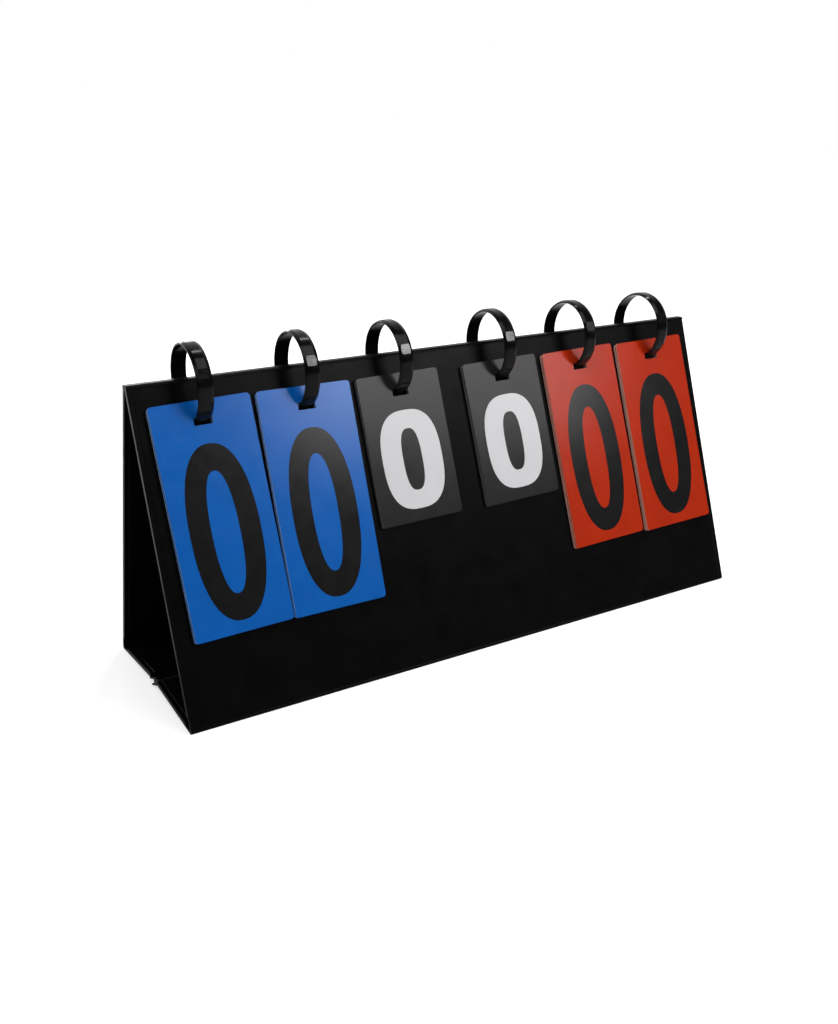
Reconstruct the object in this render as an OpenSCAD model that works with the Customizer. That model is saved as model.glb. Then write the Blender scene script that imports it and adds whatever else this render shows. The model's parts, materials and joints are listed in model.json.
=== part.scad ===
// Tabletop flip scoreboard: a folding tent stand with six rings and six stacks of number cards.
// X runs along the ridge, -Y is the side with the cards, +Z is up, and Z = 0 is the table top.

/* [Stand] */
// Length of the stand along its ridge
stand_l = 600; // [540:5:700]
// Height of the fold axes at the ridge above the table
ridge_h = 267.7; // [230:0.1:300]
// Distance between the two bottom folds
base_depth = 181; // [150:1:230]
// Distance between the two fold axes at the ridge
ridge_gap = 5; // [4.8:0.1:8]
// Thickness of a panel and of a base flap
panel_t = 4; // [3.4:0.1:5]
// Thickness of the vinyl skin
skin_t = 0.8; // [0.5:0.1:1]
// Width of the sealed hem beside a board
hem_w = 5; // [4:0.5:8]
// Clearance between a board and its skin
board_play = 0.1; // [0.05:0.01:0.2]
// Distance from a ridge axis down to a panel's board
board_top = 3; // [2.5:0.5:6]
// Gap between a fold's bead and the panel that turns on it
fold_gap = 0.3; // [0.25:0.05:0.6]
// Width of the flat foot under a bottom fold
foot_w = 1.6; // [1.2:0.1:1.8]
// Distance from a bottom fold to where a panel or flap has its full thickness
fold_w = 12; // [12:0.5:16]

/* [Base flaps] */
// Upward slope of the base flaps, in degrees
flap_rise = 4.5; // [3:0.25:6]
// Distance from the middle of the base to the end of a flap's stiff part
flap_stop = 9; // [7:0.5:14]
// Length of the soft lip at a flap's free end
lip_l = 17; // [14:0.5:20]
// Thickness of a soft lip and of the webs at the bottom folds
lip_t = 1.6; // [1:0.1:2]
// Downward slope of the lips towards the back, in degrees
lip_dip = 22; // [18:1:24]
// Width of the hook and loop strips
strip_w = 14; // [8:1:14]
// Thickness of the loop strip
loop_t = 2.2; // [1.4:0.1:2.4]
// Thickness of the hook strip
hook_t = 1.8; // [1.2:0.1:2]
// Distance of a strip's ends from the ends of the stand
strip_inset = 2; // [1:1:30]

/* [Rings] */
// Outer diameter of a ring
ring_d = 68.5; // [66:0.1:74]
// Radial thickness of a ring
ring_t = 2.5; // [2.4:0.1:3]
// Width of a ring along the ridge
ring_w = 13.4; // [12:0.1:14]
// Chamfer on the inner edges of a ring
ring_bevel = 0.4; // [0.2:0.05:0.6]
// Width of the sloping side of a ring's crowned outer face
crown_w = 2.8; // [1:0.1:3.4]
// Depth by which a ring's outer face is lower at its sides than in its middle
crown_d = 1.2; // [0.4:0.1:1.5]
// Depth of a ring's centre below the ridge axes
ring_drop = 1.5; // [0.5:0.1:3]
// Angle of the latch above the ring's centre, and of the hinge below it, in degrees
latch_rise = 14.5; // [8:0.5:20]
// Diameter of a ring's hinge pin
pin_d = 1.4; // [1.2:0.1:1.5]
// Radial clearance of the pin in its knuckles
pin_play = 0.05; // [0.02:0.01:0.1]
// Diameter of the knuckles round the pin
knuckle_d = 3.6; // [3.2:0.1:4]
// Width of the middle knuckle
knuckle_w = 4.6; // [4:0.1:5.6]
// Clearance between the two halves of a ring
half_gap = 0.25; // [0.2:0.05:0.3]
// Width of the latch tongue
tongue_w = 6; // [4:0.1:7]
// Thickness of the latch tongue
tongue_t = 1; // [0.8:0.1:1.1]
// Length of the latch tongue
tongue_l = 3; // [2:0.5:3.5]
// Depth of the flat pressed into the ring beside the latch
flat_depth = 0.3; // [0.2:0.05:0.5]

/* [Cards] */
// Width of a score card
score_w = 87.5; // [80:0.1:89]
// Height of a score card
score_h = 193.7; // [150:0.1:200]
// Width of a set card
set_w = 84; // [70:0.1:89]
// Height of a set card
set_h = 134.3; // [110:0.1:180]
// Corner radius of a card
card_r = 3; // [1:0.5:6]
// Thickness of a card
card_t = 0.38; // [0.3:0.01:0.4]
// Gap between two cards of a stack
card_gap = 0.07; // [0.05:0.01:0.1]
// Number of cards in a stack
card_count = 10; // [6:1:10]
// Distance along the panel from the ridge axis to a card's top edge
card_drop = 16.1; // [14:0.1:18]
// Gap between the rearmost card and the panel
card_seat = 0.3; // [0.25:0.05:0.5]
// Length of the slot in a card, along the ridge
slot_l = 16.4; // [15:0.1:20]
// Height of a card's slot above the middle of the ring
slot_up = 2.3; // [2.2:0.1:2.6]
// Height of a card's slot below the middle of the ring
slot_down = 4.2; // [3:0.1:5]
// Length of the slot in a panel, along the ridge
panel_slot_l = 22; // [16:0.5:24]
// Clearance of a ring in the slots of a panel
panel_slot_play = 0.5; // [0.3:0.1:1]
// Share of the free length that lies between an end of the stand and the first card
end_share = 0.148; // [0.1:0.001:0.18]
// Share of the free length that lies between the two cards of a score
pair_share = 0.078; // [0.05:0.001:0.1]
// Share of the free length that lies between a score card and a set card
side_share = 0.0994; // [0.07:0.0001:0.12]

/* [Digits] */
// Width of a score digit
score_digit_w = 61.5; // [50:0.5:70]
// Height of a score digit
score_digit_h = 148; // [120:1:160]
// Side stroke of a score digit
score_stroke = 18.5; // [12:0.5:22]
// Top and bottom stroke of a score digit
score_cap = 22.6; // [14:0.1:26]
// Distance from a score card's top edge to its digit
score_digit_drop = 36; // [30:0.5:44]
// Width of a set digit
set_digit_w = 62; // [50:0.5:70]
// Height of a set digit
set_digit_h = 90; // [70:1:100]
// Side stroke of a set digit
set_stroke = 21; // [14:0.5:24]
// Top and bottom stroke of a set digit
set_cap = 16.8; // [12:0.1:22]
// Distance from a set card's top edge to its digit
set_digit_drop = 33.5; // [30:0.5:38]
// Thickness of a printed digit
ink_t = 0.06; // [0.04:0.01:0.1]

/* [Hidden] */
STACKS = ["blue_tens", "blue_units", "left_set", "right_set", "red_tens", "red_units"];
STACK_PARTS = ["lower_ring", "upper_ring", "ring_pin", "front_card", "zero", "nine_cards"];
STAND_PARTS = ["front_cover", "front_board", "back_cover", "back_board", "ridge_strip",
               "front_fold", "back_fold", "front_flap_cover", "front_flap_board",
               "back_flap_cover", "back_flap_board", "loop_strip", "hook_strip"];

BLACK = "#161616";
BOARD = "#8a7f6c";
BLUE = "#0a5fb8";
RED = "#b82a14";
GREY = "#3f3f3f";
INK = "#262626";
WHITE = "#d4d4d4";

// The panels: v runs down the slope from a ridge axis, o runs outwards from the middle of the panel
fold_r = panel_t / 2;
fold_z = fold_r;
fold_y = base_depth / 2;
half_gap_y = ridge_gap / 2;
rise = ridge_h - fold_z;
tilt = atan((fold_y - half_gap_y) / rise);
panel_l = sqrt(pow(fold_y - half_gap_y, 2) + pow(rise, 2));
board_t = panel_t - 2 * skin_t - 2 * board_play;
board_end = panel_l - fold_w - hem_w / 2;
web_t = skin_t;

// How far a cutting block reaches past what it cuts
cut_over = 5;

// The ring's centre in the panel's own v and o
ring_r = ring_d / 2 - ring_t / 2;
ring_v = ring_drop * cos(tilt) - half_gap_y * sin(tilt);
ring_o = -half_gap_y * cos(tilt) - ring_drop * sin(tilt);
ring_z = ridge_h - ring_drop;
function cross_v(r, o) = ring_v + sqrt(pow(r, 2) - pow(o - ring_o, 2));

// The card stacks, counted from the panel outwards
pitch = card_t + card_gap;
function card_o(i) = panel_t / 2 + card_seat + card_t / 2 + i * pitch;
front_o = card_o(card_count - 1);
free_l = stand_l - 4 * score_w - 2 * set_w;
outer_x = stand_l / 2 - end_share * free_l - score_w / 2;
inner_x = outer_x - pair_share * free_l - score_w;
set_x = inner_x - side_share * free_l - (score_w + set_w) / 2;
stack_x = [-outer_x, -inner_x, -set_x, set_x, inner_x, outer_x];
function is_set(i) = i == 2 || i == 3;
function card_w(i) = is_set(i) ? set_w : score_w;
function card_h(i) = is_set(i) ? set_h : score_h;
function card_colour(i) = i < 2 ? BLUE : is_set(i) ? GREY : RED;

// The slots, in v
knuckle_r = knuckle_d / 2;
slot_v = cross_v(ring_r, front_o);
panel_slot_top = cross_v(ring_r - knuckle_r - panel_slot_play, panel_t / 2);
panel_slot_end = cross_v(ring_r + knuckle_r + panel_slot_play, -panel_t / 2);

// The base flaps: u runs from a bottom fold towards the middle of the base, w runs up from its axis
flap_l = (fold_y - flap_stop) / cos(flap_rise);
lip_y = -flap_stop;
lip_z = fold_z + (fold_y - flap_stop) * tan(flap_rise) - fold_r / cos(flap_rise);

module on_front() {
  translate([0, -half_gap_y, ridge_h]) rotate([-tilt, 0, 0]) children();
}

module on_back() {
  mirror([0, 1, 0]) on_front() children();
}

// A bar along X whose section is drawn with its first axis as Y and its second as Z
module bar(length) {
  rotate([90, 0, 90]) linear_extrude(length, center = true) children();
}

// A card or panel outline in v and X, cut to a thickness around offset o
module sheet(o, t) {
  translate([0, -o + t / 2, 0]) rotate([90, 0, 0]) linear_extrude(t) children();
}

module slot_outline(x, top, end, length) {
  translate([x - length / 2, -end]) square([length, end - top]);
}

module rounded_outline(x, top, w, h, r) {
  translate([x - w / 2 + r, -top - h]) square([w - 2 * r, h]);
  translate([x - w / 2, -top - h + r]) square([w, h - 2 * r]);
  for (sx = [-1, 1], sv = [r, h - r])
    translate([x + sx * (w / 2 - r), -top - sv]) circle(r, $fn = 48);
}

module panel_slots(t) {
  for (x = stack_x)
    sheet(0, t) slot_outline(x, panel_slot_top, panel_slot_end, panel_slot_l);
}

// A panel's section: a round top on the ridge axis, and a thin web that ends round the fold's bead
module panel_section() {
  difference() {
    union() {
      circle(fold_r, $fn = 64);
      translate([-fold_r, -panel_l + fold_w]) square([panel_t, panel_l - fold_w]);
      translate([-fold_r, -panel_l]) square([lip_t, fold_w]);
    }
    translate([0, -panel_l]) circle(fold_r + fold_gap, $fn = 64);
  }
}

module panel_cover() {
  difference() {
    bar(stand_l) panel_section();
    panel_pocket();
    panel_slots(panel_t * 2);
  }
}

module panel_pocket() {
  t = panel_t - 2 * skin_t;
  translate([-stand_l / 2 + hem_w, -t / 2, -board_end - board_play])
    cube([stand_l - 2 * hem_w, t, board_end - board_top + 2 * board_play]);
}

module panel_board() {
  difference() {
    translate([-stand_l / 2 + hem_w + board_play, -board_t / 2, -board_end])
      cube([stand_l - 2 * hem_w - 2 * board_play, board_t, board_end - board_top]);
    panel_slots(panel_t * 2);
  }
}

module front_cover() { color(BLACK) on_front() panel_cover(); }
module front_board() { color(BOARD) on_front() panel_board(); }
module back_cover() { color(BLACK) on_back() panel_cover(); }
module back_board() { color(BOARD) on_back() panel_board(); }

// The web of vinyl that bridges the two panels at the ridge
module ridge_strip() {
  r = fold_r + fold_gap;
  color(BLACK) translate([0, 0, ridge_h]) bar(stand_l) {
    translate([-half_gap_y, r]) square([ridge_gap, web_t]);
    for (s = [-1, 1]) intersection() {
      translate([s * half_gap_y, 0]) difference() {
        circle(r + web_t, $fn = 64);
        circle(r, $fn = 64);
      }
      translate([s * half_gap_y - (s < 0 ? 2 * r : 0), r * cos(60)]) square(2 * r);
    }
  }
}

// The bead in a bottom fold, pressed flat where it stands on the table
module fold_bead() {
  translate([0, -fold_y, fold_z]) bar(stand_l) {
    circle(fold_r, $fn = 64);
    translate([-foot_w / 2, -fold_r]) square([foot_w, fold_r]);
  }
}

module front_fold() { color(BLACK) fold_bead(); }
module back_fold() { color(BLACK) mirror([0, 1, 0]) fold_bead(); }

// The stiff part of a flap and the thin web that joins it to the fold's bead
module flap_section() {
  difference() {
    translate([-fold_y, fold_z]) rotate(flap_rise) {
      translate([fold_w, -fold_r]) square([flap_l - fold_w, panel_t]);
      translate([0, -fold_r]) square([fold_w, lip_t]);
    }
    translate([-fold_y, fold_z]) circle(fold_r + fold_gap, $fn = 64);
  }
}

module flap_pocket(play) {
  t = panel_t - 2 * skin_t - 2 * play;
  start = fold_w + hem_w / 2 + play;
  translate([0, -fold_y, fold_z]) rotate([flap_rise, 0, 0])
    translate([-stand_l / 2 + hem_w + play, start, -t / 2])
      cube([stand_l - 2 * hem_w - 2 * play, flap_l - hem_w / 2 - start - play, t]);
}

// A layer of the lapped lips, from height a to height b above the lower lip's underside
module lip_layer(a, b, from, length) {
  translate([lip_y, lip_z]) rotate(-lip_dip) translate([from, a]) square([length, b - a]);
}

lap_t = lip_t + loop_t + hook_t;
// Where the back lip's free edge lies along the front lip, and how far its root runs into its flap
lip_lead = 1;
lip_root = 3;
strip_from = (lip_l - strip_w) / 2 + lip_lead;

module front_flap_cover() {
  color(BLACK) difference() {
    bar(stand_l) {
      flap_section();
      lip_layer(0, lip_t, 0, lip_l);
    }
    flap_pocket(0);
  }
}

module front_flap_board() { color(BOARD) flap_pocket(board_play); }

module loop_strip() {
  color("#1f1f1f") bar(stand_l - 2 * strip_inset) lip_layer(lip_t, lip_t + loop_t, strip_from, strip_w);
}

module hook_strip() {
  color("#0e0e0e") bar(stand_l - 2 * strip_inset) lip_layer(lip_t + loop_t, lap_t, strip_from, strip_w);
}

module back_flap_cover() {
  color(BLACK) difference() {
    bar(stand_l) {
      mirror([1, 0]) flap_section();
      intersection() {
        lip_layer(lap_t, lap_t + lip_t, lip_lead, lip_l + 2 * lip_root);
        translate([-fold_y, 0]) square([fold_y + flap_stop + lip_root, ridge_h]);
      }
    }
    mirror([0, 1, 0]) flap_pocket(0);
  }
}

module back_flap_board() { color(BOARD) mirror([0, 1, 0]) flap_pocket(board_play); }

// A ring's body: a band with a flat inner face and a crowned outer face
module ring_band() {
  a = ring_t / 2;
  b = ring_w / 2;
  c = ring_bevel;
  rotate([0, 90, 0]) rotate_extrude($fn = 96) translate([ring_r, 0])
    polygon([[-a, -b + c], [-a + c, -b], [a - crown_d, -b], [a, -b + crown_w],
             [a, b - crown_w], [a - crown_d, b], [-a + c, b], [-a, b - c]]);
}

// A ring's own frame: the latch is on -Y and the hinge on +Y
module at_ring(i) {
  translate([stack_x[i], 0, ring_z]) rotate([-latch_rise, 0, 0]) children();
}

// A barrel or bore on the hinge pin's axis, behind the ring's centre
module on_pin(r, length, x = 0) {
  translate([x, ring_r, 0]) rotate([0, 90, 0]) cylinder(length, r = r, center = true, $fn = 48);
}

// A bore that is cut through both kinds of knuckle
module pin_bore() {
  on_pin(pin_d / 2 + pin_play, ring_w + 2 * cut_over);
}

module half_space(sign) {
  size = ring_d + 2 * cut_over;
  translate([-size / 2, -size / 2, sign > 0 ? 0 : -size]) cube(size);
}

side_w = (ring_w - knuckle_w) / 2 - half_gap / 2;
side_x = ring_w / 2 - side_w / 2;

// The slot or tongue of the latch, in front of the ring's centre
module latch(play, top) {
  w = tongue_w + 2 * play;
  t = tongue_t + 2 * play;
  translate([-w / 2, -ring_r - t / 2, -tongue_l - play]) cube([w, t, tongue_l + play + top]);
}

module lower_ring(i) {
  color(BLACK) at_ring(i) difference() {
    union() {
      difference() {
        intersection() { ring_band(); half_space(-1); }
        on_pin(knuckle_r + half_gap, knuckle_w + half_gap);
      }
      for (s = [-1, 1]) on_pin(knuckle_r, side_w, s * side_x);
    }
    pin_bore();
    latch(half_gap, 1);
  }
}

module upper_ring(i) {
  color(BLACK) at_ring(i) difference() {
    union() {
      difference() {
        intersection() { ring_band(); translate([0, 0, half_gap]) half_space(1); }
        for (s = [-1, 1]) on_pin(knuckle_r + half_gap, side_w + half_gap, s * (side_x + half_gap / 4));
        upper_flat();
      }
      on_pin(knuckle_r, knuckle_w - half_gap);
      latch(0, 1.5 * half_gap);
    }
    pin_bore();
  }
}

// The flat above the latch, which ends at the joint between the halves
module upper_flat() {
  r = ring_d / 2 - flat_depth;
  half_angle = acos(r / (ring_d / 2));
  rotate([-half_angle, 0, 0]) translate([-ring_w, -r - cut_over, -ring_r / 2])
    cube([2 * ring_w, cut_over, ring_r]);
}

module ring_pin(i) {
  color("#9a9a9a") at_ring(i) on_pin(pin_d / 2, ring_w - 2 * ring_bevel);
}

module card_outline(i) {
  difference() {
    rounded_outline(stack_x[i], card_drop, card_w(i), card_h(i), card_r);
    slot_outline(stack_x[i], slot_v - slot_up, slot_v + slot_down, slot_l);
  }
}

module front_card(i) {
  color(card_colour(i)) on_front() sheet(front_o, card_t) card_outline(i);
}

// How much lower than the front card a card hangs, because the ring slopes down through the stack
function hang(o) = cross_v(ring_r, o) - slot_v;

// The cards behind the front one, from 1 to 9
module nine_cards(i) {
  color(card_colour(i)) on_front()
    for (k = [0 : card_count - 2])
      translate([0, 0, -hang(card_o(k))]) sheet(card_o(k), card_t) card_outline(i);
}

// A zero is a squared oval, |x|^n + |y|^n = 1, and a set card's zero is the squarer one
SCORE_SQUARENESS = 2.3;
SET_SQUARENESS = 2.7;
function oval(w, h, n) = [for (a = [0 : 7.5 : 352.5])
  [w / 2 * sign(cos(a)) * pow(abs(cos(a)), 2 / n), h / 2 * sign(sin(a)) * pow(abs(sin(a)), 2 / n)]];

module zero_outline(w, h, stroke, cap, n) {
  difference() {
    polygon(oval(w, h, n));
    polygon(oval(w - 2 * stroke, h - 2 * cap, n));
  }
}

// Places a digit of height h, whose top edge is a drop below the card's, on the front card's face
module printed(i, drop, h) {
  on_front() sheet(front_o + (card_t + ink_t) / 2, ink_t)
    translate([stack_x[i], -card_drop - drop - h / 2]) children();
}

module zero(i) {
  if (is_set(i))
    color(WHITE) printed(i, set_digit_drop, set_digit_h)
      zero_outline(set_digit_w, set_digit_h, set_stroke, set_cap, SET_SQUARENESS);
  else
    color(INK) printed(i, score_digit_drop, score_digit_h)
      zero_outline(score_digit_w, score_digit_h, score_stroke, score_cap, SCORE_SQUARENESS);
}

front_cover();
front_board();
back_cover();
back_board();
ridge_strip();
front_fold();
back_fold();
front_flap_cover();
front_flap_board();
back_flap_cover();
back_flap_board();
loop_strip();
hook_strip();
for (i = [0 : len(STACKS) - 1]) {
  lower_ring(i);
  upper_ring(i);
  ring_pin(i);
  front_card(i);
  zero(i);
  nine_cards(i);
}
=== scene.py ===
import json
import math
import random
from bisect import bisect_left

import bmesh
import bpy
from mathutils import Matrix, Quaternion, Vector


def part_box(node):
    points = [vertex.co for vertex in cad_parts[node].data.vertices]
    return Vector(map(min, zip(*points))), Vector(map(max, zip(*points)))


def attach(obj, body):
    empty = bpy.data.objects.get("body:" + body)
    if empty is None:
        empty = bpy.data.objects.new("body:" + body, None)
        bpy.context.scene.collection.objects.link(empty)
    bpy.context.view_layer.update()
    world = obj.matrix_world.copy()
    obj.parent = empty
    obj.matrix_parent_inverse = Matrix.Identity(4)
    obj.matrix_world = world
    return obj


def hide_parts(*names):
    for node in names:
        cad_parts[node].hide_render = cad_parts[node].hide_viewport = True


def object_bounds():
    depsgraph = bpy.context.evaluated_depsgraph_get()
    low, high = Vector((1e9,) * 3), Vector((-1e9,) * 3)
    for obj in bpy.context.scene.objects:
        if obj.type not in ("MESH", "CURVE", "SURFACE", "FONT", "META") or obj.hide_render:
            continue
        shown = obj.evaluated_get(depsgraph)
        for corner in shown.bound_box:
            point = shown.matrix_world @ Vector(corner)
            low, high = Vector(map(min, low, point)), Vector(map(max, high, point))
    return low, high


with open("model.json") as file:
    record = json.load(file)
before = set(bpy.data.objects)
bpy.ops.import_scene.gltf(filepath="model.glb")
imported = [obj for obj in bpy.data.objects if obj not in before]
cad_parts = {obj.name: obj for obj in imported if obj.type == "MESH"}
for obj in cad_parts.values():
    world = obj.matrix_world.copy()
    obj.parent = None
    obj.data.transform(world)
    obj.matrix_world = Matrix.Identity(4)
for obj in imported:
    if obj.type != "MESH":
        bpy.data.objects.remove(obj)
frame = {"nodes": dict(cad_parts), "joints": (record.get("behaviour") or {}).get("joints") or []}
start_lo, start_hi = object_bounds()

scene = bpy.context.scene
random.seed(7)
MM = 0.001
STACKS = ["blue_tens", "blue_units", "left_set", "right_set", "red_tens", "red_units"]
JOINTS = {joint["name"]: Vector(joint["pos_m"]) for joint in frame["joints"]}

# The front panel's own frame: x along the ridge, v down its slope, o out from its middle
RIDGE = JOINTS["ridge_front_fold"]
FOOT = JOINTS["front_flap_fold"]
SLOPE = math.atan2(RIDGE.y - FOOT.y, RIDGE.z - FOOT.z)
SIN, COS = math.sin(SLOPE), math.cos(SLOPE)
PANEL_L = math.hypot(RIDGE.y - FOOT.y, RIDGE.z - FOOT.z)


def to_panel(p):
    y, z = p.y - RIDGE.y, p.z - RIDGE.z
    return p.x, -(y * SIN + z * COS), -(y * COS - z * SIN)


def from_panel(x, v, o):
    return Vector((x, RIDGE.y - v * SIN - o * COS, RIDGE.z - v * COS + o * SIN))


OUTWARDS = from_panel(0, 0, 1) - from_panel(0, 0, 0)


def linear(r, g, b):
    """A screen colour, 0 to 255, as the linear colour that a shader takes, by the sRGB curve."""
    return tuple(c / 255 / 12.92 if c <= 10 else ((c / 255 + 0.055) / 1.055) ** 2.4 for c in (r, g, b))


def scaled(colour, k):
    return tuple(min(1.0, c * k) for c in colour)


# The part of a pattern's 0 to 1 over which a colour, or another value, goes from one end to the other
COLOUR_SPAN = (0.3, 0.7)
VALUE_SPAN = (0.35, 0.65)


class Nodes:
    """Adds nodes to one node tree."""

    def __init__(self, tree):
        self.tree = tree

    def add(self, kind, **values):
        """A new node. A value goes to the input of its name, or else to the node's own setting."""
        node = self.tree.nodes.new(kind)
        for key, value in values.items():
            if key in node.inputs:
                node.inputs[key].default_value = value
            else:
                setattr(node, key, value)
        return node

    def link(self, a, b):
        self.tree.links.new(a, b)

    def math(self, operation, a, b=0.0):
        node = self.add("ShaderNodeMath", operation=operation)
        for socket, value in zip(node.inputs, (a, b)):
            if isinstance(value, (int, float)):
                socket.default_value = value
            else:
                self.link(value, socket)
        return node.outputs["Value"]

    def ramp(self, value, low, high, span=VALUE_SPAN):
        """From low to high while value goes over the span."""
        node = self.add("ShaderNodeMapRange")
        self.link(value, node.inputs["Value"])
        start, end = span
        for key, number in (("From Min", start), ("From Max", end), ("To Min", low), ("To Max", high)):
            node.inputs[key].default_value = number
        return node.outputs["Result"]


class Maker(Nodes):
    """Makes one material, whose patterns lie in the object's own coordinates."""

    def __init__(self, name):
        self.mat = bpy.data.materials.new(name)
        self.mat.use_nodes = True
        super().__init__(self.mat.node_tree)
        self.bsdf = self.tree.nodes["Principled BSDF"]
        self.coord = self.add("ShaderNodeTexCoord").outputs["Object"]

    def mapped(self, scale=(1, 1, 1), turn=0.0, place=(0, 0, 0)):
        """The coordinates moved by place, then turned about X, then scaled."""
        shift = self.add("ShaderNodeVectorMath", operation="ADD")
        self.link(self.coord, shift.inputs[0])
        shift.inputs[1].default_value = place
        node = self.add("ShaderNodeMapping")
        node.inputs["Rotation"].default_value = (turn, 0, 0)
        node.inputs["Scale"].default_value = scale
        self.link(shift.outputs["Vector"], node.inputs["Vector"])
        return node.outputs["Vector"]

    def noise(self, scale, detail=4.0, rough=0.5, vector=None):
        node = self.add("ShaderNodeTexNoise", Scale=scale, Detail=detail, Roughness=rough)
        self.link(vector or self.coord, node.inputs["Vector"])
        return node.outputs["Fac"]

    def cells(self, scale, feature="SMOOTH_F1", randomness=1.0):
        node = self.add("ShaderNodeTexVoronoi", Scale=scale, feature=feature, Randomness=randomness)
        self.link(self.coord, node.inputs["Vector"])
        return node.outputs["Distance"]

    def tone(self, value, dark, light):
        """From the dark colour to the light one while value goes over the colours' span."""
        node = self.add("ShaderNodeValToRGB")
        self.link(value, node.inputs["Fac"])
        for element, place, colour in zip(node.color_ramp.elements, COLOUR_SPAN, (dark, light)):
            element.position = place
            element.color = (*colour, 1)
        return node.outputs["Color"]

    def shade(self, value, base, dark, light):
        """From dark times to light times the base colour."""
        return self.tone(value, scaled(base, dark), scaled(base, light))

    def bump(self, height, strength, distance, after=None):
        node = self.add("ShaderNodeBump", Strength=strength, Distance=distance)
        self.link(height, node.inputs["Height"])
        if after:
            self.link(after, node.inputs["Normal"])
        return node.outputs["Normal"]

    def set(self, **sockets):
        """Sets the shader's inputs, with an underscore for a space in their names."""
        for key, value in sockets.items():
            socket = self.bsdf.inputs[key.replace("_", " ")]
            if isinstance(value, (int, float, tuple)):
                socket.default_value = value
            else:
                self.link(value, socket)
        return self.mat


# The welded line inside a cover's border: its place, its size, and how much glossier than the rest it is
SEAM_INSET = 4 * MM
SEAM_HALF_W = 0.7 * MM
SEAM_DEPTH = 0.25 * MM
SEAM_GLOSS = 0.12


def seam(m, turn, origin, v_lo, v_hi):
    """1 along the welded line and 0 elsewhere."""
    axes = m.add("ShaderNodeSeparateXYZ")
    m.link(m.mapped(turn=turn, place=tuple(-c for c in origin)), axes.inputs["Vector"])
    x, v = axes.outputs["X"], axes.outputs["Z"]
    from_end = m.math("SUBTRACT", start_hi.x, m.math("ABSOLUTE", x))
    from_side = m.math("MINIMUM", m.math("SUBTRACT", v, v_lo), m.math("SUBTRACT", v_hi, v))
    off = m.math("ABSOLUTE", m.math("SUBTRACT", m.math("MINIMUM", from_end, from_side), SEAM_INSET))
    return m.ramp(off, 1.0, 0.0, (0.0, SEAM_HALF_W))


def vinyl(name, weld=None):
    """Leathercloth: small soft pebbles, faint waves over the board, and a welded line if one is given."""
    m = Maker(name)
    waves = m.noise(scale=9.0, detail=2.0)
    pebbles = m.cells(scale=820.0)
    grain = m.noise(scale=2400.0, detail=2.0)
    normal = m.bump(waves, strength=0.2, distance=2 * MM)
    normal = m.bump(pebbles, strength=0.5, distance=0.15 * MM, after=normal)
    normal = m.bump(grain, strength=0.25, distance=0.05 * MM, after=normal)
    rough = m.ramp(m.noise(scale=55.0, detail=5.0), low=0.28, high=0.36)
    if weld:
        welded = seam(m, *weld)
        sunk = m.math("SUBTRACT", 0.0, welded)
        normal = m.bump(sunk, strength=1.0, distance=SEAM_DEPTH, after=normal)
        rough = m.math("SUBTRACT", rough, m.math("MULTIPLY", welded, SEAM_GLOSS))
    return m.set(
        Base_Color=m.shade(m.noise(scale=30.0), linear(6, 6, 6), dark=0.8, light=1.3),
        Roughness=rough,
        Specular_IOR_Level=0.04,
        Normal=normal,
    )


def chipboard():
    """Pale grey-brown board with its fibres drawn out along Z."""
    m = Maker("board")
    fibres = m.noise(scale=420.0, detail=6.0, rough=0.7, vector=m.mapped((1.0, 1.0, 0.35)))
    return m.set(
        Base_Color=m.shade(fibres, linear(138, 124, 100), dark=0.75, light=1.15),
        Roughness=0.92,
        Normal=m.bump(fibres, strength=0.5, distance=0.2 * MM),
    )


def ring_plastic():
    """Moulded black plastic with fine lines along the band and a few dull patches."""
    m = Maker("ring_plastic")
    lines = m.noise(scale=60.0, detail=5.0, rough=0.6, vector=m.mapped((26.0, 1.0, 1.0)))
    dull = m.noise(scale=90.0, detail=3.0)
    return m.set(
        Base_Color=m.shade(dull, linear(5, 5, 6), dark=0.8, light=1.3),
        Roughness=m.ramp(dull, low=0.12, high=0.2),
        Specular_IOR_Level=0.14,
        Normal=m.bump(lines, strength=0.15, distance=0.25 * MM),
    )


def steel():
    """Bright pin stock, drawn along X."""
    m = Maker("steel")
    lines = m.noise(scale=900.0, detail=4.0, rough=0.6, vector=m.mapped((0.2, 1.0, 1.0)))
    return m.set(
        Metallic=1.0,
        Base_Color=m.tone(lines, dark=(0.42, 0.42, 0.43), light=(0.62, 0.62, 0.62)),
        Roughness=m.ramp(lines, low=0.25, high=0.4),
        Normal=m.bump(lines, strength=0.2, distance=0.05 * MM),
    )


def printed(name, base, gloss, fade=0.06):
    """Printed plastic sheet: an even colour, a fine satin grain and faint handling marks."""
    m = Maker(name)
    waves = m.bump(m.noise(scale=14.0, detail=1.0), strength=0.12, distance=1.5 * MM)
    grain = m.noise(scale=2600.0, detail=2.0)
    marks = m.noise(scale=70.0, detail=5.0, rough=0.6)
    return m.set(
        Base_Color=m.shade(m.noise(scale=38.0, detail=3.0), base, dark=1 - fade, light=1 + fade),
        Roughness=m.ramp(marks, low=0.17, high=0.22),
        Specular_IOR_Level=gloss,
        Normal=m.bump(grain, strength=0.06, distance=0.04 * MM, after=waves),
    )


def card_edge(name, base):
    """The cut edge of a card, where the pale sheet shows below its print."""
    m = Maker(name)
    cuts = m.noise(scale=1500.0, detail=3.0, rough=0.6)
    return m.set(
        Base_Color=m.shade(cuts, base, dark=0.75, light=1.1),
        Roughness=0.6,
        Normal=m.bump(cuts, strength=0.3, distance=0.05 * MM),
    )


def loop_tape():
    """A dull pile of fine loops."""
    m = Maker("loop_tape")
    pile = m.noise(scale=1100.0, detail=6.0, rough=0.8)
    return m.set(
        Base_Color=m.shade(pile, linear(26, 26, 27), dark=0.5, light=1.6),
        Roughness=0.95,
        Sheen_Weight=0.3,
        Normal=m.bump(pile, strength=1.0, distance=0.6 * MM),
    )


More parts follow.
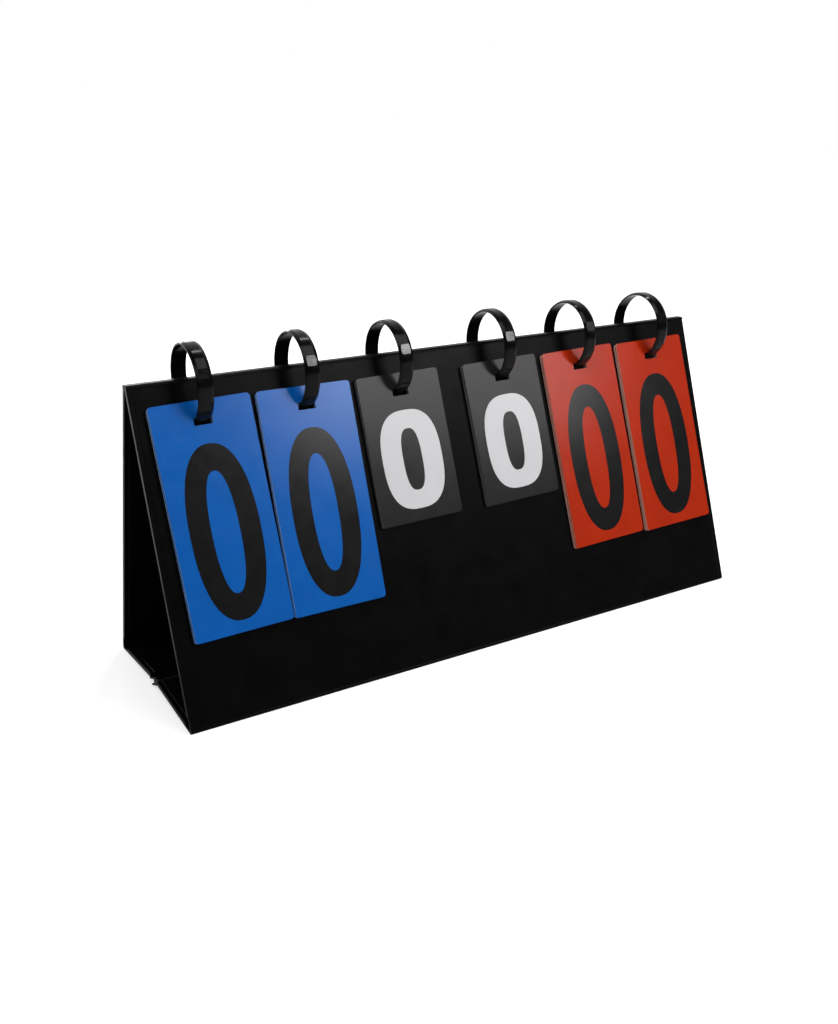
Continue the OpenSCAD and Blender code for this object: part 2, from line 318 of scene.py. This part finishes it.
def hook_tape():
    """Small stiff hooks in nearly even rows, palest at their middles."""
    m = Maker("hook_tape")
    hooks = m.cells(scale=1500.0, feature="F1", randomness=0.15)
    return m.set(
        Base_Color=m.shade(hooks, linear(16, 16, 16), dark=1.8, light=0.5),
        Roughness=0.55,
        Normal=m.bump(hooks, strength=0.9, distance=0.5 * MM),
    )


VINYL, BOARD, RING, STEEL = vinyl("vinyl"), chipboard(), ring_plastic(), steel()
LOOP, HOOK = loop_tape(), hook_tape()
BLUE = printed("blue_card", linear(0, 85, 166), gloss=0.4), card_edge("blue_edge", linear(190, 212, 236))
GREY = printed("grey_card", linear(34, 34, 34), gloss=0.21), card_edge("grey_edge", linear(110, 110, 112))
RED = printed("red_card", linear(165, 39, 8), gloss=0.25), card_edge("red_edge", linear(224, 192, 176))
WHITE = printed("white_ink", linear(199, 199, 201), gloss=0.15, fade=0.015)
INK = printed("dark_ink", linear(14, 14, 15), gloss=0.34)
CARD_LOOKS = {"blue": (*BLUE, "blue_card"), "red": (*RED, "red_card"), "set": (*GREY, "grey_card")}

# Each cover's welded line: the turn that lays its slope along Z, its origin, and its reach along Z.
# A panel's reach goes far past the ridge, because its top edge has no line.
BACK_RIDGE = Vector((0, -RIDGE.y, RIDGE.z))
WELDS = {
    "front_cover": (-SLOPE, RIDGE, -PANEL_L, PANEL_L),
    "back_cover": (SLOPE, BACK_RIDGE, -PANEL_L, PANEL_L),
}
for name in ("front_flap_cover", "back_flap_cover"):
    lo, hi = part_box(name)
    WELDS[name] = (math.pi / 2, Vector((0, 0, 0)), lo[1], hi[1])
COVERS = {name: vinyl(name.replace("cover", "vinyl"), weld) for name, weld in WELDS.items()}


def finish_of(name):
    """The face material, the edge material or None, and the record's slot for a node."""
    if name.endswith(("zero", "one")):
        return (WHITE, None, "white_ink") if "set" in name else (INK, None, "dark_ink")
    if "card" in name:
        for word, look in CARD_LOOKS.items():
            if word in name:
                return look
    if name.endswith("ring_pin"):
        return STEEL, None, "pin"
    if name.endswith("ring"):
        return RING, None, "ring"
    if "board" in name:
        return BOARD, None, "board"
    if name == "loop_strip":
        return LOOP, None, "loop_tape"
    if name == "hook_strip":
        return HOOK, None, "hook_tape"
    return COVERS.get(name, VINYL), None, "vinyl"


# A card's polygon is a printed face where the cosine between its normal and the panel's is above this
PRINTED_COSINE = 0.7


def dress(obj, name):
    """Gives a piece its materials. Only a card has an edge material."""
    face, edge, slot_name = finish_of(name)
    obj.data.materials.clear()
    obj.data.materials.append(face)
    if edge:
        obj.data.materials.append(edge)
        for poly in obj.data.polygons:
            poly.material_index = 0 if abs(poly.normal.dot(OUTWARDS)) > PRINTED_COSINE else 1


for name, node in frame["nodes"].items():
    dress(node, name)

# How each ring sits: its shift along the ridge in mm, its turn about Z and its lean about Y in degrees.
# At a turn of 1.6 degrees the pin cuts the upper half when the ring opens.
RING_SET = {
    "blue_tens": (0.1, -0.6, -0.7),
    "blue_units": (0.7, -0.7, 0.5),
    "left_set": (-1.4, -0.7, -0.6),
    "right_set": (-1.3, -0.7, -0.6),
    "red_tens": (0.4, 0.0, 0.3),
    "red_units": (0.6, 0.5, 0.5),
}
# How each stack hangs: its shift along the ridge in mm and its swing in degrees
CARD_SET = {
    "blue_tens": (0.5, 1.2),
    "blue_units": (-0.1, -0.2),
    "left_set": (-1.0, 0.9),
    "right_set": (-1.3, 1.2),
    "red_tens": (-0.4, 1.2),
    "red_units": (0.0, 1.0),
}
# The most by which a card behind the front one lies off its stack's place, in mm and in degrees
LOOSE_SHIFT, LOOSE_SWING = 0.35, 0.16
# Two faces of a stack lie at least this far apart
LEVEL_STEP = 0.03 * MM


def copy_of(node, name, body):
    """A copy of a CAD node that stands for it and can be set a little askew."""
    made = bpy.data.objects.new(name, frame["nodes"][node].data.copy())
    scene.collection.objects.link(made)
    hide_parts(node)
    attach(made, body)
    return made


def levels_of(obj):
    """The distances out from the panel at which the faces of obj's cards lie."""
    found = []
    for o in sorted(to_panel(vert.co)[2] for vert in obj.data.vertices):
        if not found or o - found[-1] > LEVEL_STEP:
            found.append(o)
    return found


def hang(obj, stack, loose=0.0):
    """Shifts and swings each card of obj about its slot. loose spreads the cards among themselves."""
    shift, swing = CARD_SET[stack]
    centre = JOINTS[stack + "_flip"].x
    pivot = to_panel(JOINTS[stack + "_card_swing"])[1]
    levels = levels_of(obj)
    places = []
    for card in range(len(levels) // 2):
        dx = shift + loose * random.uniform(-LOOSE_SHIFT, LOOSE_SHIFT)
        turn = swing + loose * random.uniform(-LOOSE_SWING, LOOSE_SWING)
        places.append((dx * MM, math.radians(turn)))
    for vert in obj.data.vertices:
        x, v, o = to_panel(vert.co)
        dx, turn = places[bisect_left(levels, o - LEVEL_STEP / 2) // 2]
        x, v = x - centre, v - pivot
        across = x * math.cos(turn) + v * math.sin(turn)
        down = v * math.cos(turn) - x * math.sin(turn)
        vert.co = from_panel(centre + dx + across, pivot + down, o)
    obj.data.update()


# The figure 1: its back and its face above the card, and its stroke as a share of its width
ONE_BACK, ONE_FACE = 0.01 * MM, 0.05 * MM
ONE_STROKE = 0.33


def one_outline(w, h, stroke):
    """A plain figure 1 in a box w wide and h high, from the flag's tip round, in x and down."""
    left, right = (w - stroke) / 2, (w + stroke) / 2
    tip, shoulder = left - 1.05 * stroke, left + 0.1 * stroke
    flag_top, flag_foot, flag_root = 0.16 * h, 0.27 * h, 0.2 * h
    flag = [(tip, flag_top), (tip, flag_foot), (left, flag_root)]
    stem = [(left, h), (right, h), (right, 0), (shoulder, 0)]
    return flag + stem


def figure_one(stack, face_o):
    """The 1 on the second card, which shows once the front card is flipped."""
    zero_lo, zero_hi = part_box(stack + "_zero")
    w = zero_hi[0] - zero_lo[0]
    h = (zero_hi[2] - zero_lo[2]) / COS
    top = to_panel(Vector((0, zero_hi[1], zero_hi[2])))[1]
    left = JOINTS[stack + "_flip"].x - w / 2
    outline = one_outline(w, h, ONE_STROKE * w)
    mesh = bpy.data.meshes.new(stack + "_one")
    bm = bmesh.new()
    rims = []
    for o in (face_o + ONE_BACK, face_o + ONE_FACE):
        rims.append([bm.verts.new(from_panel(left + x, top + v, o)) for x, v in outline])
        bm.faces.new(rims[-1])
    low, high = rims
    for i in range(len(low)):
        bm.faces.new([low[i - 1], low[i], high[i], high[i - 1]])
    bmesh.ops.recalc_face_normals(bm, faces=bm.faces)
    bm.to_mesh(mesh)
    bm.free()
    made = bpy.data.objects.new(stack + "_one", mesh)
    scene.collection.objects.link(made)
    dress(made, stack + "_one")
    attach(made, "front_panel")
    return made


def seat_ring(stack):
    """Sets the three parts of a ring askew as one, about the ring's own centre."""
    shift, turn, lean = RING_SET[stack]
    at = JOINTS[stack + "_flip"]
    move = Matrix.Translation(at + Vector((shift * MM, 0, 0)))
    move @= Matrix.Rotation(math.radians(turn), 4, "Z") @ Matrix.Rotation(math.radians(lean), 4, "Y")
    move @= Matrix.Translation(-at)
    for part, body in (("lower_ring", "_ring"), ("upper_ring", "_ring_top"), ("ring_pin", "_ring")):
        copy_of(f"{stack}_{part}", f"{stack}_{part}_set", stack + body).data.transform(move)


for stack in STACKS:
    for part in ("front_card", "zero"):
        hang(copy_of(f"{stack}_{part}", f"{stack}_{part}_hung", stack + "_card"), stack)
    behind = copy_of(stack + "_nine_cards", stack + "_nine_cards_hung", "front_panel")
    second_face = levels_of(behind)[-1]
    hang(behind, stack, loose=1.0)
    hang(figure_one(stack, second_face), stack)
    seat_ring(stack)

# The floor, and its drop below the stand's underside, so that they share no plane
FLOOR_SIZE = 30
FLOOR_DROP = 0.2 * MM
# The floor glows least within the first distance from its middle, and is plain white past the second
NEAR_FLOOR, FAR_FLOOR = 0.45, 0.9
# The floor's glow beside the stand, and in front of it in the stand's reflections
NEAR_GLOW = 0.6
FRONT_MIRRORED = 0.05
# The world's light on the object, and how far back a reflection points where it first meets full white
ROOM_LIGHT = 0.12
WHITE_BEHIND = 0.6


def make_floor():
    """A pale floor that keeps the stand's shadow close by and turns plain white further out."""
    bpy.ops.mesh.primitive_plane_add(size=FLOOR_SIZE, location=(0, 0, -FLOOR_DROP))
    floor = bpy.context.object
    floor.name = "floor"
    m = Maker("floor")
    away = m.add("ShaderNodeVectorMath", operation="LENGTH")
    m.link(m.coord, away.inputs[0])
    axes = m.add("ShaderNodeSeparateXYZ")
    m.link(m.coord, axes.inputs["Vector"])
    seen = m.ramp(away.outputs["Value"], NEAR_GLOW, 1.0, (NEAR_FLOOR, FAR_FLOOR))
    mirrored = m.ramp(axes.outputs["Y"], FRONT_MIRRORED, 1.0, (0.0, FAR_FLOOR))
    path = m.add("ShaderNodeLightPath")
    eye = m.math("MAXIMUM", path.outputs["Is Camera Ray"], path.outputs["Is Transmission Ray"])
    glow = m.math("MULTIPLY", seen, eye)
    glow = m.math("MAXIMUM", glow, m.math("MULTIPLY", mirrored, path.outputs["Is Glossy Ray"]))
    m.set(
        Base_Color=m.tone(m.noise(scale=3.0), dark=(0.78, 0.78, 0.78), light=(0.8, 0.8, 0.8)),
        Roughness=0.95,
        Specular_IOR_Level=0.0,
        Emission_Color=(1, 1, 1, 1),
        Emission_Strength=glow,
    )
    floor.data.materials.append(m.mat)


def make_world():
    """White to the eye and, behind the stand, to reflections too. The dim room lights the object."""
    world = bpy.data.worlds.new("studio")
    scene.world = world
    world.use_nodes = True
    w = Nodes(world.node_tree)
    path = w.add("ShaderNodeLightPath")
    axes = w.add("ShaderNodeSeparateXYZ")
    w.link(w.add("ShaderNodeTexCoord").outputs["Generated"], axes.inputs["Vector"])
    behind = w.ramp(axes.outputs["Y"], 0.0, 1.0, (0.0, WHITE_BEHIND))
    mirrored = w.math("MULTIPLY", path.outputs["Is Glossy Ray"], behind)
    seen = w.math("MAXIMUM", path.outputs["Is Camera Ray"], path.outputs["Is Transmission Ray"])
    strength = w.math("MAXIMUM", w.math("MAXIMUM", seen, mirrored), ROOM_LIGHT)
    backdrop = world.node_tree.nodes["Background"]
    backdrop.inputs["Color"].default_value = (1, 1, 1, 1)
    w.link(strength, backdrop.inputs["Strength"])


# The point that the lamps are aimed at
AIM = Vector((0, 0, 0.2))
# Each lamp: azimuth and elevation in degrees, distance, width and height in metres, power in watts, and
# roll in degrees. Azimuth 0 is in front of the stand and 90 to its right.
LAMPS = {
    "key": (35, 27, 2.2, (0.92, 0.95), 12, -17),
    "accent": (31, 29.5, 2.2, (0.64, 0.15), 12.5, -14),
    "fill": (-55, 30, 2.4, (1.5, 1.5), 9, 0),
    "overhead": (0, 62, 0.9, (1.0, 0.5), 4.1, 0),
    "rim": (128.5, 70, 2.2, (0.4, 0.12), 6, 54),
    "rear_left": (-130, 35, 2.2, (0.9, 0.9), 8, 0),
    "rear": (180, 18, 2.2, (1.0, 0.5), 8, 0),
}


def make_lamp(name, azimuth, elevation, distance, size, power, roll):
    """An area lamp that the camera doesn't see."""
    az, el = math.radians(azimuth), math.radians(elevation)
    way = Vector((math.sin(az) * math.cos(el), -math.cos(az) * math.cos(el), math.sin(el)))
    data = bpy.data.lights.new(name, "AREA")
    data.shape = "RECTANGLE"
    data.size, data.size_y = size
    data.energy = power
    light = bpy.data.objects.new(name, data)
    scene.collection.objects.link(light)
    light.visible_camera = False
    light.location = AIM + way * distance
    light.rotation_mode = "QUATERNION"
    light.rotation_quaternion = (-way).to_track_quat("-Z", "Y") @ Quaternion((0, 0, 1), math.radians(roll))


make_floor()
make_world()
for name, setting in LAMPS.items():
    make_lamp(name, *setting)

# The camera, from the photograph's own view of the stand. Its sensor is in mm.
EYE = Vector((-0.53157, -0.83151, 0.45805))
AZIMUTH, ELEVATION, ROLL = (math.radians(angle) for angle in (31.248, 19.594, 0.462))
FOCAL_PX, LONG_SIDE_PX = 1066.45, 1024
SENSOR_W = 36.0


def make_camera():
    sin_az, cos_az = math.sin(AZIMUTH), math.cos(AZIMUTH)
    forward = Vector((sin_az * math.cos(ELEVATION), cos_az * math.cos(ELEVATION), -math.sin(ELEVATION)))
    level = Vector((cos_az, -sin_az, 0))
    upright = level.cross(forward)
    right = level * math.cos(ROLL) - upright * math.sin(ROLL)
    top = upright * math.cos(ROLL) + level * math.sin(ROLL)
    data = bpy.data.cameras.new("camera")
    data.sensor_width = SENSOR_W
    data.lens = FOCAL_PX * SENSOR_W / LONG_SIDE_PX
    camera = bpy.data.objects.new("camera", data)
    scene.collection.objects.link(camera)
    camera.matrix_world = Matrix.Translation(EYE) @ Matrix((right, top, -forward)).transposed().to_4x4()
    scene.camera = camera


make_camera()
scene.view_settings.view_transform = "Standard"
